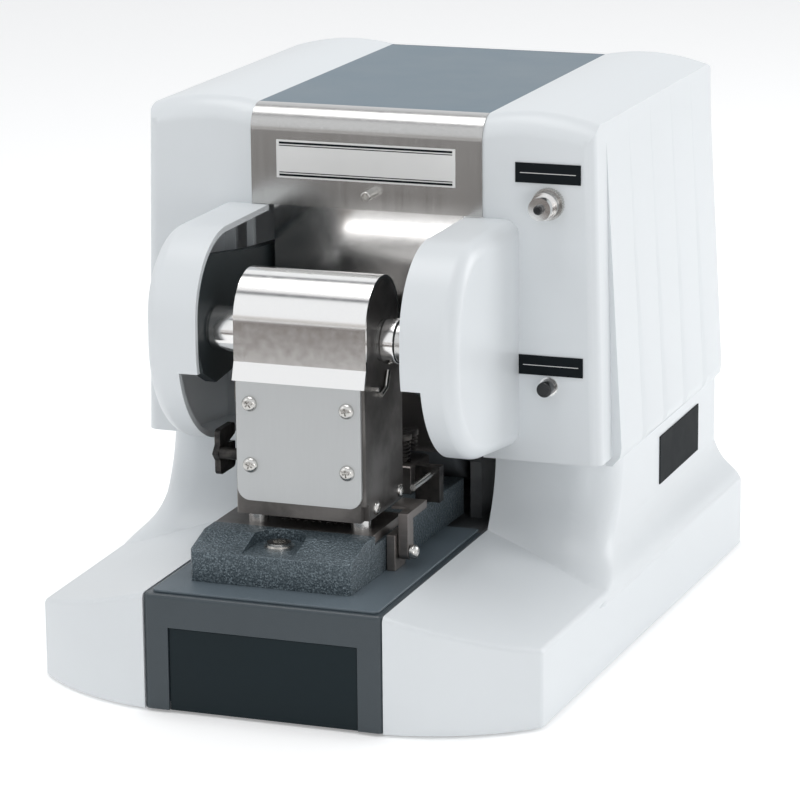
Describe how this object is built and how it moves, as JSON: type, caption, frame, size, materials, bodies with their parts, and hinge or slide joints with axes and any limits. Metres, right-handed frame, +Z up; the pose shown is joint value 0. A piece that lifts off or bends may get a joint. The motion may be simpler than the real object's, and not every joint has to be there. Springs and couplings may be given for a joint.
{
  "type": "electric desk perforator",
  "caption": "Motor-driven desk perforator: a head with punch pins slides down pillars onto a die plate, pressed by rocker arms that run back into a two-shell housing.",
  "frame": {"origin": "on the table, under the middle of the base (centre of the bounding box's bottom face)", "axes": "+X to the machine's right seen from the front, +Y from the front panel to the rear, +Z up"},
  "size_m": [0.2798, 0.372, 0.2774],
  "materials": {
    "shell_white": "satin moulded white plastic",
    "slate_paint": "satin slate-grey paint",
    "dark_slate": "satin dark paint",
    "lid_paint": "satin grey-blue paint",
    "brushed_steel": "vertical grain",
    "polished_steel": "polished",
    "plate_grey": "fine satin",
    "head_dark": "dark oxide, satin",
    "hammer_grey": "hammered enamel",
    "die_steel": "ground tool steel",
    "bright_steel": "ground",
    "screw_nickel": "nickel-plated",
    "black_steel": "black oxide",
    "arm_dark": "dark satin paint",
    "cast_grey": "as cast",
    "rubber_black": "matt",
    "belt_rubber": "matt",
    "bronze": "sintered bronze",
    "black_plastic": "matt",
    "label_black": "bare strip, satin",
    "label_silver": "bare printed foil",
    "motor_grey": "satin",
    "rotor_steel": "laminated steel",
    "button_dark": "gloss"
  },
  "bodies": {
    "stand": {"left_shell": "shell_white", "right_shell": "shell_white", "left_guard": "shell_white", "right_guard": "shell_white", "front_panel": "slate_paint", "front_inset": "dark_slate", "deck": "slate_paint", "fascia": "brushed_steel", "fascia_label": "label_silver", "fascia_pin": "screw_nickel", "top_cover": "lid_paint", "rear_panel": "slate_paint", "recess_panel": "polished_steel", "base_casting": "cast_grey", "feet": "rubber_black", "bed": "hammer_grey", "die_plate": "die_steel", "bed_screw": "screw_nickel", "guide_pillars": "bright_steel", "rear_block": "die_steel", "spring_bolt": "black_steel", "stop_spring": "black_steel", "gauge_rod": "bright_steel", "lever_bracket": "die_steel", "lever_pin": "screw_nickel", "drive_frame": "cast_grey", "pivot_shaft": "bright_steel", "crank_bearings": "bronze", "motor_body": "motor_grey", "drive_belt": "belt_rubber", "capacitor": "label_silver", "power_inlet": "black_plastic", "rear_screws": "screw_nickel", "name_strips": "label_black", "data_plate": "label_black", "switch_barrel": "polished_steel", "switch_nut": "screw_nickel", "button_bezel": "polished_steel"},
    "head": {"head_frame": "head_dark", "head_plate": "plate_grey", "head_screws": "screw_nickel", "head_cover": "polished_steel", "side_screws": "screw_nickel", "punch_block": "die_steel", "punch_pins": "bright_steel", "shaft_clip": "screw_nickel"},
    "rocker": {"rocker_arms": "arm_dark", "cross_shaft": "bright_steel", "shaft_sleeves": "polished_steel", "tail_pin": "bright_steel"},
    "rod": {"connecting_rod": "cast_grey"},
    "crank": {"crankshaft": "bright_steel", "flywheel": "cast_grey"},
    "armature": {"rotor": "rotor_steel", "motor_pulley": "bright_steel"},
    "plunger": {"switch_plunger": "button_dark"},
    "button": {"start_button": "button_dark"},
    "wing": {"wing_screw": "black_steel"},
    "lever": {"stop_lever": "die_steel"}
  },
  "joints": [
    {"name": "rocker_hinge", "type": "hinge", "parent": "stand", "child": "rocker", "pos_m": [0, 0.054, 0.1724], "axis": [1, 0, 0], "range_deg": [0, 1.85]},
    {"name": "head_slide", "type": "slide", "parent": "stand", "child": "head", "axis": [0, 0, -1], "range_m": [0, 0.0052]},
    {"name": "rod_hinge", "type": "hinge", "parent": "rocker", "child": "rod", "pos_m": [0, 0.12399, 0.17127], "axis": [1, 0, 0], "range_deg": [-1.86, 0]},
    {"name": "crank_spin", "type": "hinge", "parent": "stand", "child": "crank", "pos_m": [0, 0.12399, 0.105], "axis": [1, 0, 0], "continuous": true},
    {"name": "armature_spin", "type": "hinge", "parent": "stand", "child": "armature", "pos_m": [0, 0.026, 0.114], "axis": [1, 0, 0], "continuous": true},
    {"name": "switch_plunger", "type": "slide", "parent": "stand", "child": "plunger", "axis": [0, 1, 0], "range_m": [0, 0.003], "stiffness_N_per_m": 300},
    {"name": "start_button", "type": "slide", "parent": "stand", "child": "button", "axis": [0, 1, 0], "range_m": [0, 0.0035], "stiffness_N_per_m": 400},
    {"name": "wing_screw", "type": "hinge", "parent": "head", "child": "wing", "pos_m": [-0.04, -0.12, 0.1148], "axis": [1, 0, 0], "continuous": true},
    {"name": "stop_lever", "type": "hinge", "parent": "stand", "child": "lever", "pos_m": [0.0467, -0.11, 0.07], "axis": [1, 0, 0], "range_deg": [0, 6]}
  ],
  "couplings": [
    {"joint": "head_slide", "follows": "rocker_hinge", "m_per_rad": 0.16099},
    {"joint": "rod_hinge", "follows": "rocker_hinge", "ratio": -1},
    {"joint": "armature_spin", "follows": "crank_spin", "ratio": 3.24}
  ]
}
